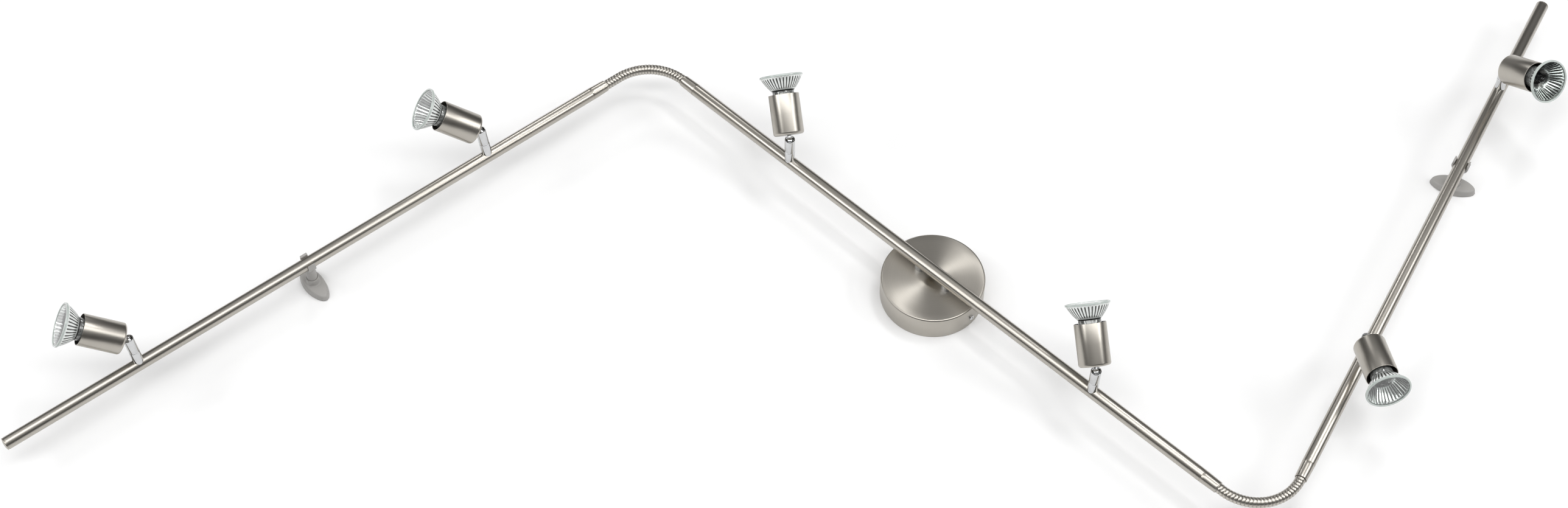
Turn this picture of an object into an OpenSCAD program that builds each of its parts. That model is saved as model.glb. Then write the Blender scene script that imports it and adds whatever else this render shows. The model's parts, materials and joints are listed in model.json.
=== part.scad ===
// Flexible ceiling spot bar. Three straight nickel tubes are joined by two
// bendable corrugated necks. A round canopy carries the middle tube, a clip
// and foot steady each outer tube, and six lamp heads turn and tilt on stems.
// Millimetres. Z points out of the ceiling; the origin is the middle of the
// canopy's back face. X and Y lie in the ceiling plane.

/* [Canopy] */
// Outside diameter of the canopy
canopy_d = 120; // [100:1:150]
// Height of the canopy, back rim to face
canopy_h = 33; // [26:0.5:36]
// Sheet thickness of the canopy
canopy_wall = 1.2; // [0.8:0.1:2]
// Radius of the rounded edge round the face
canopy_edge = 2.2; // [1.6:0.1:6]
// Height of the side screws above the ceiling
side_screw_z = 15; // [10:0.5:20]
// Direction of the first side screw, in degrees
side_screw_dir = -45; // [-90:1:0]
// Diameter of the side screw heads
side_screw_head_d = 6; // [5:0.5:9]

/* [Ceiling bracket] */
// Width of the steel strap
strap_w = 20; // [14:1:26]
// Thickness of the strap
strap_t = 1.5; // [1:0.1:2.5]
// Distance between the two ceiling screw holes
ceiling_screw_gap = 72; // [60:1:84]
// Diameter of each ceiling screw hole
ceiling_hole_d = 5; // [4:0.5:6]
// Diameter of the cable hole in the strap
cable_hole_d = 11; // [8:0.5:14]
// Length of the terminal block
block_l = 18; // [12:1:18]
// Width of the terminal block
block_w = 16; // [12:1:18]
// Height of the terminal block
block_h = 12; // [8:1:14]

/* [Fixing nipples] */
// Distance between the two nipples under the middle tube
nipple_gap = 40; // [30:1:60]
// Thread diameter of a nipple
nipple_d = 8; // [7:0.5:9]
// Bore of a nipple
nipple_bore = 5; // [4:0.5:6]
// Diameter of the collar between canopy and tube
nipple_collar_d = 12; // [10:0.5:14]
// Diameter of each flexible wire
wire_d = 1.8; // [1.2:0.1:2]

/* [Tubes] */
// Outside diameter of the tubes
tube_d = 15; // [12.5:0.5:18]
// Wall thickness of the tubes
tube_wall = 1.2; // [1:0.1:1.5]
// Height of the tube axes above the ceiling
tube_h = 46; // [45:0.5:60]
// Length of the middle tube
centre_tube_l = 765; // [600:5:920]
// Length of the left tube
left_tube_l = 779; // [700:1:940]
// Length of the right tube
right_tube_l = 736; // [690:1:890]
// Roll of the left tube about its own axis, in degrees
left_roll = 10; // [-25:0.5:25]
// Roll of the right tube about its own axis, in degrees
right_roll = -4; // [-25:0.5:25]
// Shift of the middle tube along itself, past the canopy's middle
centre_shift = 3.8; // [-20:0.1:20]
// Direction of the middle tube, in degrees
centre_dir = -43.3; // [-90:0.1:0]
// Thickness of the end cap face
cap_t = 3; // [2:0.5:5]

/* [Necks] */
// Outside diameter of the corrugated neck
neck_d = 12; // [10:0.5:12.5]
// Bore of the neck
neck_bore = 8; // [6:0.5:8.5]
// Free length of a neck between its ferrules
neck_l = 105.4; // [90:0.1:130]
// Angle bent into the left neck
left_bend = 81.2; // [40:0.1:110]
// Angle bent into the right neck
right_bend = 103.7; // [40:0.1:115]
// Straight stretch of the left neck at its inner end
left_inner_lead = 1.6; // [1:0.1:30]
// Straight stretch of the left neck at its outer end
left_lead = 20; // [1:0.1:30]
// Straight stretch of the right neck at its inner end
right_inner_lead = 4.6; // [1:0.1:30]
// Straight stretch of the right neck at its outer end
right_lead = 1; // [1:0.1:30]
// Length of a ferrule outside its tube
ferrule_l = 21; // [18:1:26]
// Diameter of a ferrule at the neck
ferrule_mouth_d = 13.8; // [13.2:0.1:14.6]
// Length of neck held inside a ferrule
neck_grip = 14; // [8:1:16]
// Length of ferrule or cap pushed into a tube
spigot_l = 12; // [8:1:16]

/* [Stems] */
// Outside diameter of a stem
stem_d = 12; // [10:0.5:13]
// Height of the fixed stem base above the tube
stem_base_h = 15; // [12:0.5:22]
// Height of the turning socket
socket_h = 20.8; // [18:0.1:26]
// Distance of the middle tube's stems from its middle
centre_stem_x = 228.5; // [150:0.5:300]
// Distance of the left tube's inner stem from the neck
left_inner_x = 148.7; // [110:0.1:200]
// Distance of the left tube's outer stem from the neck
left_outer_x = 613.7; // [520:0.1:660]
// Distance of the right tube's inner stem from the neck
right_inner_x = 153.1; // [110:0.1:200]
// Distance of the right tube's outer stem from the neck
right_outer_x = 587.4; // [520:0.1:640]

/* [Clips and feet] */
// Distance of the left clip from the neck
left_clip_x = 395.4; // [300:0.1:480]
// Distance of the right clip from the neck
right_clip_x = 460; // [320:0.1:480]
// Direction of the left foot, in degrees
left_foot_dir = -52; // [-180:1:180]
// Direction of the right foot, in degrees
right_foot_dir = -20; // [-180:1:180]
// Length of a foot
foot_l = 55; // [46:1:66]
// Width of a foot
foot_w = 25; // [21:1:30]
// Height of a foot at its middle
foot_h = 9.5; // [8:0.5:12]
// Top of the foot's collar above the ceiling
collar_top = 18; // [14:0.5:22]
// Diameter of a clip's round post
post_d = 12; // [10:0.5:12.5]
// Width of a clip along the tube
clip_w = 10; // [6:0.5:14]
// Thickness of a clip's arms
clip_t = 2.4; // [1.8:0.1:3.5]
// Angle of each clip arm's tip, from straight down
clip_reach = 125; // [110:1:140]

/* [Lamp heads] */
// Outside diameter of the can
can_d = 36; // [32:0.5:43]
// Length of the can
can_l = 47.5; // [42:0.5:60]
// Radius of the rounded back edge of the can
can_edge = 3; // [1.5:0.5:6]
// Distance from the pivot to the back of the can
can_back = 7; // [6.8:0.1:9]
// Diameter of the ball on the knuckle
ball_d = 8.6; // [7.6:0.1:8.8]
// Diameter of the knuckle's neck
knuckle_d = 5.2; // [4.6:0.1:5.4]
// Diameter of the lampholder
holder_d = 24; // [20:0.5:28]
// Distance from the pivot to the lamp's base
lamp_base = 30; // [26:0.5:34]
// Diameter of the lamp's front rim, a standard 50 mm reflector
lamp_rim_d = 50.6; // [48:0.1:51]
// Length of the lamp from base to front
lamp_l = 47; // [44:0.5:52]
// Diameter of the lamp's neck
lamp_neck_d = 25.6; // [24:0.1:28]
// Distance between the lamp's two pins, a standard size
pin_gap = 10; // [10:0.1:10.2]

/* [Head directions] */
// Turn of head 1, in degrees
head_1_turn = 190; // [-180:0.5:200]
// Tilt of head 1 from straight out, in degrees
head_1_tilt = 53.5; // [0:0.5:90]
// Turn of head 2, in degrees
head_2_turn = 187; // [-180:0.5:200]
// Tilt of head 2 from straight out, in degrees
head_2_tilt = 49; // [0:0.5:90]
// Turn of head 3, in degrees
head_3_turn = 99.5; // [-180:0.5:200]
// Tilt of head 3 from straight out, in degrees
head_3_tilt = 56; // [0:0.5:90]
// Turn of head 4, in degrees
head_4_turn = 98.5; // [-180:0.5:200]
// Tilt of head 4 from straight out, in degrees
head_4_tilt = 56; // [0:0.5:90]
// Turn of head 5, in degrees
head_5_turn = -81; // [-180:0.5:200]
// Tilt of head 5 from straight out, in degrees
head_5_tilt = 83; // [0:0.5:90]
// Turn of head 6, in degrees
head_6_turn = -59; // [-180:0.5:200]
// Tilt of head 6 from straight out, in degrees
head_6_tilt = 58.5; // [0:0.5:90]

/* [Clearances] */
// Radial gap of turning and sliding pins and spigots
running_gap = 0.05; // [0.02:0.01:0.1]
// Radial gap of plugs and studs in their holes
plug_gap = 0.1; // [0.05:0.05:0.2]
// Radial gap between a clip and its tube
clip_gap = 0.25; // [0.2:0.05:0.4]
// Gap between the stem base and the turning socket
seam_gap = 0.2; // [0.1:0.05:0.4]

/* [Hidden] */
$fn = 72;
over = 1;
canopy_r = canopy_d / 2;
canopy_in = canopy_r - canopy_wall;
tube_r = tube_d / 2;
tube_in = tube_r - tube_wall;
tube_top = tube_h + tube_r;
tube_under = tube_h - tube_r;
wire_way_r = 4;
neck_lap = 0.5;
neck_step = 0.1;
seam_depth = 0.3;
seam_w = 0.5;
ferrule_r = min(ferrule_mouth_d / 2, tube_r);

screw_shank_r = 2;
screw_hole_r = screw_shank_r + 0.2;
screw_head_t = 3;
screw_head_taper = 1;
screw_tip = 3;
tab_x = sqrt(pow(canopy_in - 0.5, 2) - pow(strap_w / 2, 2));
tab_top = side_screw_z + 6;
nipple_r = nipple_d / 2;
nipple_drop = 12;
block_screw_d = 3.4;
block_screw_depth = 4;
core_side = 1.15;
nut_t = 3.5;
nut_rise = 3.5;
knuckle_nut_r = 5;
tube_nut_r = 0.86 * tube_in;
tube_nut_low = 0.95 * sqrt(pow(tube_in, 2) - pow(tube_nut_r, 2));
wire_bend_r = 6;

stem_r = stem_d / 2;
stud_r = 0.55 * tube_in;
stud_nut_r = 0.75 * tube_in;
stud_nut_top = 0.98 * sqrt(pow(tube_in, 2) - pow(stud_nut_r, 2));
stud_nut_t = 0.8 * stud_nut_top;
stem_wire_r = 1.7;
base_top = tube_r + stem_base_h;
socket_top = base_top + seam_gap + socket_h;
spigot_r = 3;
cup_wall = 1.4;
cup_r = stem_r - cup_wall;
cup_floor = socket_top - 9.5;
rim_chamfer = 0.8;
rivet_t = 1;
rivet_r = cup_r - 0.6;
knuckle_slot = knuckle_d + 0.8;
knuckle_slot_floor = socket_top - 9;
pivot_z = socket_top - 3;
pin_r = 1.25;
pin_in = 1.9;
pin_out = stem_r - 0.1;

ball_r = min(ball_d / 2, cup_r - 0.3);
knuckle_r = knuckle_d / 2;
knuckle_wire_r = 1.5;
can_r = can_d / 2;
can_wall = 1;
holder_back = can_back + can_wall + nut_t;
knuckle_end = holder_back + 1.5;
holder_r = holder_d / 2;
pin_hole_r = 2.6;
holder_slack = 0.4;
holder_recess = 2.5;
holder_wire_r = 1.2;
lamp_pin_r = 1.3;
pin_head_r = 2.4;
pin_head_t = 2;
lamp_pin_l = 7;
lamp_front = lamp_base + lamp_l;
lamp_rim_t = 2.5;
lamp_rim_r = lamp_rim_d / 2;
lamp_neck_r = lamp_neck_d / 2;
glass_t = 1.4;
lamp_body_l = 22;
lamp_collar_z = 10;
lamp_collar_t = 4;
burner_neck_r = 2.6;
burner_neck_l = 5;
burner_r = 4.5;
burner_l = 7;
front_glass_t = 1.4;
glass_set = 2;
bowl_l = 15.5;
bowl_z = lamp_front - lamp_rim_t - bowl_l;
bowl_r0 = lamp_neck_r + 0.9;
bowl_r1 = lamp_rim_r - 1;
bowl_bulge = 0.8;
bowl_steps = 8;

clip_in = tube_r + clip_gap;
post_r = post_d / 2;
post_low = 2.5;
collar_r = post_r + 1.5;
foot_draft = 1.2;
foot_tip = 0.56 * foot_l;
foot_side_r = (pow(foot_tip, 2) + pow(foot_w / 2, 2)) / foot_w;
foot_crown_r = 150;

nickel = [0.66, 0.63, 0.59];
chrome = [0.78, 0.79, 0.81];
steel = [0.60, 0.61, 0.62];
grey_plastic = [0.60, 0.59, 0.58];
cream = [0.90, 0.88, 0.82];
ceramic_white = [0.93, 0.92, 0.88];
glass_pale = [0.86, 0.90, 0.84];

function dir(a) = [cos(a), sin(a), 0];
// A neck leaves its ferrule straight (l0), bends through b, and ends straight (l1).
function bend_r(l0, b, l1) = (neck_l - l0 - l1) / (b * PI / 180);
function neck_start(a) = centre_shift * dir(centre_dir) + (centre_tube_l / 2 + ferrule_l) * dir(a);
function neck_hub(a, l0, b, l1) = neck_start(a) + l0 * dir(a) + bend_r(l0, b, l1) * dir(a + 90);
function arc_end(a, l0, b, l1) = neck_hub(a, l0, b, l1) + bend_r(l0, b, l1) * dir(a + b - 90);
function arm_start(a, l0, b, l1) = arc_end(a, l0, b, l1) + (l1 + ferrule_l) * dir(a + b);

left_a = centre_dir + 180;
right_a = centre_dir;

// ---- frames ---------------------------------------------------------------

// The middle tube's frame: X along the tube, origin halfway along its axis.
module on_centre()
    translate(centre_shift * dir(centre_dir) + [0, 0, tube_h])
        rotate([0, 0, centre_dir]) children();

// An outer tube's frame: X runs outward from the seam with its ferrule.
module on_left()
    translate(arm_start(left_a, left_inner_lead, left_bend, left_lead) + [0, 0, tube_h])
        rotate([0, 0, left_a + left_bend]) children();

module on_right()
    translate(arm_start(right_a, right_inner_lead, right_bend, right_lead) + [0, 0, tube_h])
        rotate([0, 0, right_a + right_bend]) children();

// An outer tube's own frame, rolled about its axis: its stems stand along Z.
module on_left_tube() on_left() rotate([left_roll, 0, 0]) children();
module on_right_tube() on_right() rotate([right_roll, 0, 0]) children();

// The stem frame of one head, turned back so that X is the ceiling's X.
module on_stem(n) {
    if (n == 1)
        on_left_tube() translate([left_outer_x, 0, 0])
            rotate([0, 0, -left_a - left_bend]) children();
    if (n == 2)
        on_left_tube() translate([left_inner_x, 0, 0])
            rotate([0, 0, -left_a - left_bend]) children();
    if (n == 3)
        on_centre() translate([-centre_stem_x, 0, 0]) rotate([0, 0, -centre_dir]) children();
    if (n == 4)
        on_centre() translate([centre_stem_x, 0, 0]) rotate([0, 0, -centre_dir]) children();
    if (n == 5)
        on_right_tube() translate([right_inner_x, 0, 0])
            rotate([0, 0, -right_a - right_bend]) children();
    if (n == 6)
        on_right_tube() translate([right_outer_x, 0, 0])
            rotate([0, 0, -right_a - right_bend]) children();
}

turns = [0, head_1_turn, head_2_turn, head_3_turn, head_4_turn, head_5_turn, head_6_turn];
tilts = [0, head_1_tilt, head_2_tilt, head_3_tilt, head_4_tilt, head_5_tilt, head_6_tilt];

// The swivel frame of one head: its slot faces X.
module on_swivel(n) on_stem(n) rotate([0, 0, turns[n]]) children();

// The pivot frame of one head: Z is the axis of the can.
module on_pivot(n)
    on_swivel(n) translate([0, 0, pivot_z]) rotate([0, tilts[n], 0]) children();

// ---- canopy ---------------------------------------------------------------

// A drum with a rounded upper edge.
module drum(r, h, edge)
    rotate_extrude() {
        square([r - edge, h]);
        square([r, h - edge]);
        translate([r - edge, h - edge]) circle(edge);
    }

module at_nipples()
    for (s = [-1, 1])
        rotate([0, 0, centre_dir]) translate([s * nipple_gap / 2, 0, 0]) children();

module at_side_screws()
    for (a = [side_screw_dir, side_screw_dir + 180])
        rotate([0, 0, a]) translate([0, 0, side_screw_z]) rotate([0, 90, 0]) children();

module canopy() color(nickel)
    difference() {
        drum(canopy_r, canopy_h, canopy_edge);
        translate([0, 0, -over])
            drum(canopy_in, canopy_h - canopy_wall + over, canopy_edge - canopy_wall);
        at_nipples() translate([0, 0, canopy_h - 5]) cylinder(r = nipple_r + plug_gap, h = 10);
        at_side_screws() cylinder(r = screw_hole_r, h = canopy_r + over);
    }

// Steel strap screwed to the ceiling, with a turned-up tab at each end.
module ceiling_bracket() color(steel)
    rotate([0, 0, side_screw_dir])
        difference() {
            union() {
                translate([-tab_x, -strap_w / 2, 0]) cube([2 * tab_x, strap_w, strap_t]);
                for (x = [-tab_x, tab_x - strap_t])
                    translate([x, -strap_w / 2, 0]) cube([strap_t, strap_w, tab_top]);
            }
            translate([0, 0, -over]) cylinder(d = cable_hole_d, h = strap_t + 2 * over);
            for (s = [-1, 1])
                translate([s * ceiling_screw_gap / 2, 0, -over])
                    cylinder(d = ceiling_hole_d, h = strap_t + 2 * over);
            translate([-canopy_r, 0, side_screw_z]) rotate([0, 90, 0])
                cylinder(r = screw_shank_r, h = canopy_d);
        }

// The shank is threaded into the tab; the head bears on the round wall.
module canopy_screws() color(chrome)
    at_side_screws() {
        translate([0, 0, tab_x - strap_t - screw_tip])
            cylinder(r = screw_shank_r, h = canopy_r - tab_x + strap_t + screw_tip + 1);
        translate([0, 0, canopy_r])
            cylinder(d1 = side_screw_head_d, d2 = side_screw_head_d - screw_head_taper, h = screw_head_t);
    }

module terminal_block() color(cream)
    rotate([0, 0, centre_dir])
        difference() {
            translate([nipple_gap / 2 - block_l / 2, -block_w / 2, strap_t])
                cube([block_l, block_w, block_h]);
            for (y = [-1, 1])
                translate([nipple_gap / 2, y * block_w / 3, strap_t + block_h - block_screw_depth])
                    cylinder(d = block_screw_d, h = block_screw_depth + over);
        }

// Hollow threaded nipple with a collar that is saddle cut to the tube.
module canopy_nipples() color(steel)
    difference() {
        at_nipples() {
            translate([0, 0, canopy_h - nipple_drop])
                cylinder(r = nipple_r, h = tube_h - canopy_h + nipple_drop);
            difference() {
                translate([0, 0, canopy_h]) cylinder(d = nipple_collar_d, h = tube_h - canopy_h - 2);
                translate([0, 0, tube_h]) rotate([0, 90, 0])
                    cylinder(r = tube_r, h = 3 * nipple_collar_d, center = true);
            }
        }
        at_nipples() cylinder(d = nipple_bore, h = tube_h + over);
    }

// A hexagon nut under the canopy's face and a round one in the tube.
module nipple_nuts() color(steel)
    at_nipples() {
        difference() {
            translate([0, 0, canopy_h - canopy_wall - nut_t])
                cylinder(r = nipple_r + nut_rise, h = nut_t, $fn = 6);
            translate([0, 0, canopy_h - 2 * nut_t]) cylinder(r = nipple_r, h = 3 * nut_t);
        }
        difference() {
            translate([0, 0, tube_h - tube_nut_low]) cylinder(r = tube_nut_r, h = tube_nut_low - 0.4);
            translate([0, 0, tube_under]) cylinder(r = nipple_r, h = tube_d);
        }
    }

// Two cores run up each nipple; those of the far one cross the strap first.
module canopy_wires() color([0.62, 0.30, 0.16])
    rotate([0, 0, centre_dir])
        for (y = [-core_side, core_side]) {
            translate([nipple_gap / 2, y, strap_t + block_h])
                cylinder(d = wire_d, h = tube_h - strap_t - block_h);
            translate([-nipple_gap / 2, y, 0]) far_core();
        }

module far_core() {
    core_z = strap_t + block_h / 2;
    run = nipple_gap - block_l / 2 - wire_bend_r;
    translate([wire_bend_r, 0, core_z]) rotate([0, 90, 0]) cylinder(d = wire_d, h = run);
    translate([wire_bend_r, 0, core_z + wire_bend_r]) rotate([90, 0, 0]) rotate([0, 0, 180])
        rotate_extrude(angle = 90) translate([wire_bend_r, 0]) circle(d = wire_d);
    translate([0, 0, core_z + wire_bend_r]) cylinder(d = wire_d, h = tube_h - core_z - wire_bend_r);
}

// ---- tubes, ferrules and necks --------------------------------------------

// A tube along X from x0 to x1 with stud holes in its upper wall.
module tube(x0, x1, studs)
    difference() {
        translate([x0, 0, 0]) rotate([0, 90, 0]) cylinder(r = tube_r, h = x1 - x0);
        translate([x0 - over, 0, 0]) rotate([0, 90, 0]) cylinder(r = tube_in, h = x1 - x0 + 2 * over);
        for (x = studs)
            translate([x, 0, 0]) cylinder(r = stud_r + plug_gap, h = tube_r + over);
    }

module centre_tube() color(nickel)
    on_centre()
        difference() {
            tube(-centre_tube_l / 2, centre_tube_l / 2, [-centre_stem_x, centre_stem_x]);
            for (s = [-1, 1])
                translate([s * nipple_gap / 2 - centre_shift, 0, -tube_r - over])
                    cylinder(r = nipple_r + plug_gap, h = tube_r + over);
        }

// The ferrule plugs into the tube at x = 0 and grips the neck at its mouth.
module ferrule()
    rotate([0, 90, 0])
        difference() {
            union() {
                translate([0, 0, -spigot_l]) cylinder(r = tube_in - plug_gap, h = spigot_l);
                cylinder(r = tube_r - seam_depth, h = seam_w);
                translate([0, 0, seam_w])
                    cylinder(r1 = tube_r, r2 = ferrule_r, h = ferrule_l - seam_w);
            }
            translate([0, 0, ferrule_l - neck_grip])
                cylinder(d = neck_d + 2 * running_gap, h = neck_grip + over);
            translate([0, 0, -spigot_l - over])
                cylinder(r = wire_way_r, h = spigot_l + ferrule_l);
        }

module centre_ferrules() color(nickel)
    on_centre() {
        translate([centre_tube_l / 2, 0, 0]) ferrule();
        translate([-centre_tube_l / 2, 0, 0]) rotate([0, 0, 180]) ferrule();
    }

// A smooth sleeve at the end of a neck, along X.
module neck_sleeve(l)
    rotate([0, 90, 0])
        difference() {
            cylinder(d = neck_d, h = l);
            translate([0, 0, -over]) cylinder(d = neck_bore, h = l + 2 * over);
        }

// The bent tube laps a little way into the sleeve at each end.
module gooseneck(a, l0, b, l1)
    translate([0, 0, tube_h]) {
        translate(neck_start(a) - neck_grip * dir(a)) rotate([0, 0, a])
            neck_sleeve(neck_grip + l0 + neck_lap);
        translate(neck_hub(a, l0, b, l1)) rotate([0, 0, a - 90])
            rotate_extrude(angle = b) translate([bend_r(l0, b, l1), 0])
                difference() {
                    circle(d = neck_d - neck_step);
                    circle(d = neck_bore + neck_step);
                }
        translate(arc_end(a, l0, b, l1) - neck_lap * dir(a + b)) rotate([0, 0, a + b])
            neck_sleeve(neck_lap + l1 + neck_grip);
    }

module left_gooseneck() color(nickel) gooseneck(left_a, left_inner_lead, left_bend, left_lead);
module right_gooseneck() color(nickel) gooseneck(right_a, right_inner_lead, right_bend, right_lead);

// Domed plug in the outer end of a tube.
module end_cap(x)
    translate([x, 0, 0]) rotate([0, 90, 0]) {
        translate([0, 0, -spigot_l]) cylinder(r = tube_in - plug_gap, h = spigot_l);
        intersection() {
            cylinder(r = tube_r, h = cap_t);
            translate([0, 0, cap_t - 3 * tube_r]) sphere(r = 3 * tube_r);
        }
    }

module left_tube() color(nickel)
    on_left_tube() tube(0, left_tube_l, [left_inner_x, left_outer_x]);
module left_end_cap() color(nickel) on_left() end_cap(left_tube_l);
module left_ferrule() color(nickel) on_left() rotate([0, 0, 180]) ferrule();
module left_stem_bases() color(chrome)
    on_left_tube() stem_bases([left_inner_x, left_outer_x]);

module right_tube() color(nickel)
    on_right_tube() tube(0, right_tube_l, [right_inner_x, right_outer_x]);
module right_end_cap() color(nickel) on_right() end_cap(right_tube_l);
module right_ferrule() color(nickel) on_right() rotate([0, 0, 180]) ferrule();
module right_stem_bases() color(chrome)
    on_right_tube() stem_bases([right_inner_x, right_outer_x]);

module centre_stem_bases() color(chrome) on_centre() stem_bases([-centre_stem_x, centre_stem_x]);

// Fixed stem bases: saddle, stud with its nut, and the riveted spigot above.
module stem_bases(xs)
    for (x = xs)
        translate([x, 0, 0]) {
            difference() {
                union() {
                    difference() {
                        cylinder(r = stem_r, h = base_top);
                        rotate([0, 90, 0]) cylinder(r = tube_r, h = 3 * stem_d, center = true);
                    }
                    cylinder(r = stud_r, h = base_top);
                    cylinder(r = spigot_r, h = cup_floor + seam_gap);
                    translate([0, 0, cup_floor + seam_gap]) cylinder(r = rivet_r, h = rivet_t);
                }
                translate([0, 0, -over]) cylinder(r = stem_wire_r, h = socket_top);
            }
            difference() {
                translate([0, 0, stud_nut_top - stud_nut_t]) cylinder(r = stud_nut_r, h = stud_nut_t);
                cylinder(r = stud_r, h = base_top);
            }
        }

// ---- clips and feet -------------------------------------------------------

// Round post with two arms that hook round the tube; origin on the tube axis.
module clip() {
    difference() {
        union() {
            translate([0, 0, post_low - tube_h])
                cylinder(r = post_r, h = tube_h - post_low - clip_in + 1);
            rotate([0, 90, 0]) rotate([0, 0, -clip_reach]) rotate_extrude(angle = 2 * clip_reach)
                translate([clip_in - 1, -clip_w / 2]) square([clip_t + 1, clip_w]);
        }
        rotate([0, 90, 0]) cylinder(r = clip_in, h = 3 * post_d, center = true);
    }
    for (s = [-1, 1])
        rotate([0, 90, 0]) rotate([0, 0, s * clip_reach]) translate([clip_in + 0.8 * clip_t, 0, 0])
            cylinder(r = 0.6 * clip_t, h = clip_w - 0.6, center = true);
}

// Boat-shaped foot with a collar for the post; X along its length.
module foot()
    difference() {
        union() {
            intersection() {
                foot_side(1);
                foot_side(-1);
                cylinder(r1 = foot_l / 2, r2 = foot_l / 2 - foot_draft, h = foot_h);
                translate([0, 0, foot_h - foot_crown_r]) sphere(r = foot_crown_r, $fn = 200);
            }
            cylinder(r = collar_r, h = collar_top);
        }
        translate([0, 0, post_low - 0.5]) cylinder(r = post_r + running_gap, h = collar_top);
    }

module foot_side(s)
    translate([0, s * (foot_side_r - foot_w / 2), 0])
        cylinder(r1 = foot_side_r, r2 = foot_side_r - foot_draft, h = foot_h, $fn = 144);

module left_clip() color(grey_plastic) on_left() translate([left_clip_x, 0, 0]) clip();
module left_foot() color(grey_plastic)
    on_left() translate([left_clip_x, 0, -tube_h])
        rotate([0, 0, left_foot_dir - left_a - left_bend]) foot();

module right_clip() color(grey_plastic) on_right() translate([right_clip_x, 0, 0]) clip();
module right_foot() color(grey_plastic)
    on_right() translate([right_clip_x, 0, -tube_h])
        rotate([0, 0, right_foot_dir - right_a - right_bend]) foot();

// ---- lamp heads -----------------------------------------------------------

// Turning upper stem: a cup with a slot for the knuckle's neck.
module socket(n) color(chrome)
    on_swivel(n)
        difference() {
            translate([0, 0, base_top + seam_gap]) cylinder(r = stem_r, h = socket_h);
            cylinder(r = spigot_r + running_gap, h = socket_top);
            translate([0, 0, cup_floor]) cylinder(r = cup_r, h = socket_top);
            translate([0, 0, socket_top - rim_chamfer])
                cylinder(r1 = cup_r, r2 = cup_r + 2 * rim_chamfer, h = 2 * rim_chamfer);
            translate([0, -knuckle_slot / 2, knuckle_slot_floor])
                cube([stem_d, knuckle_slot, socket_top]);
            translate([0, 0, pivot_z]) rotate([90, 0, 0])
                cylinder(r = pin_r + 0.02, h = 2 * stem_d, center = true);
        }

// Two stub pins on the tilt axis.
module pins(n) color(steel)
    on_swivel(n)
        translate([0, 0, pivot_z])
            for (a = [-90, 90])
                rotate([a, 0, 0]) translate([0, 0, pin_in]) cylinder(r = pin_r, h = pin_out - pin_in);

// Ball, hollow neck and the nut that clamps the can; origin at the pivot.
module knuckle(n) color(chrome)
    on_pivot(n) {
        difference() {
            union() {
                sphere(r = ball_r);
                cylinder(r = knuckle_r, h = knuckle_end);
            }
            translate([0, 0, -stem_r]) cylinder(r = knuckle_wire_r, h = knuckle_end + 2 * stem_r);
            for (a = [-90, 90])
                rotate([a, 0, 0]) translate([0, 0, pin_in - 0.1])
                    cylinder(r = pin_r + running_gap, h = stem_r);
        }
        difference() {
            translate([0, 0, can_back + can_wall]) cylinder(r = knuckle_nut_r, h = nut_t, $fn = 6);
            cylinder(r = knuckle_r, h = knuckle_end);
        }
    }

module can(n) color(nickel)
    on_pivot(n)
        difference() {
            translate([0, 0, can_back + can_l]) rotate([180, 0, 0]) drum(can_r, can_l, can_edge);
            translate([0, 0, can_back + can_l + over]) rotate([180, 0, 0])
                drum(can_r - can_wall, can_l - can_wall + over, max(can_edge - can_wall, 0.3));
            cylinder(r = knuckle_r + plug_gap, h = 2 * can_back);
        }

module at_lamp_pins()
    for (s = [-1, 1])
        translate([s * pin_gap / 2, 0, 0]) children();

module lampholder(n) color(ceramic_white)
    on_pivot(n)
        difference() {
            translate([0, 0, holder_back]) cylinder(r = holder_r, h = lamp_base - holder_back);
            translate([0, 0, holder_back - over])
                cylinder(r = knuckle_r + holder_slack, h = over + holder_recess);
            at_lamp_pins() {
                translate([0, 0, lamp_base - lamp_pin_l - 0.5])
                    cylinder(r = pin_hole_r, h = 2 * lamp_pin_l);
                translate([0, 0, holder_back - over])
                    cylinder(r = holder_wire_r, h = lamp_base - holder_back);
            }
        }

function bowl_r(u) = bowl_r0 + (bowl_r1 - bowl_r0) * u + bowl_bulge * 4 * u * (1 - u);

// Outline of the glass reflector: neck, groove, bowl and stepped front rim.
module reflector_outline() {
    neck_z = lamp_base + lamp_collar_z + lamp_collar_t;
    ledge_z = lamp_front - glass_set;
    polygon(concat(
        [[lamp_neck_r - glass_t, neck_z], [lamp_neck_r, neck_z], [lamp_neck_r, bowl_z - 0.8],
         [lamp_neck_r - 0.5, bowl_z - 0.6], [lamp_neck_r - 0.5, bowl_z]],
        [for (k = [0 : bowl_steps]) [bowl_r(k / bowl_steps), bowl_z + bowl_l * k / bowl_steps]],
        [[lamp_rim_r, bowl_z + bowl_l], [lamp_rim_r, lamp_front], [lamp_rim_r - glass_t, lamp_front],
         [lamp_rim_r - glass_t, ledge_z]],
        [for (k = [bowl_steps : -1 : 1])
            [bowl_r(k / bowl_steps) - glass_t, bowl_z + bowl_l * k / bowl_steps]],
        [[lamp_neck_r - glass_t, bowl_z + 0.6]]
    ));
}

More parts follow.
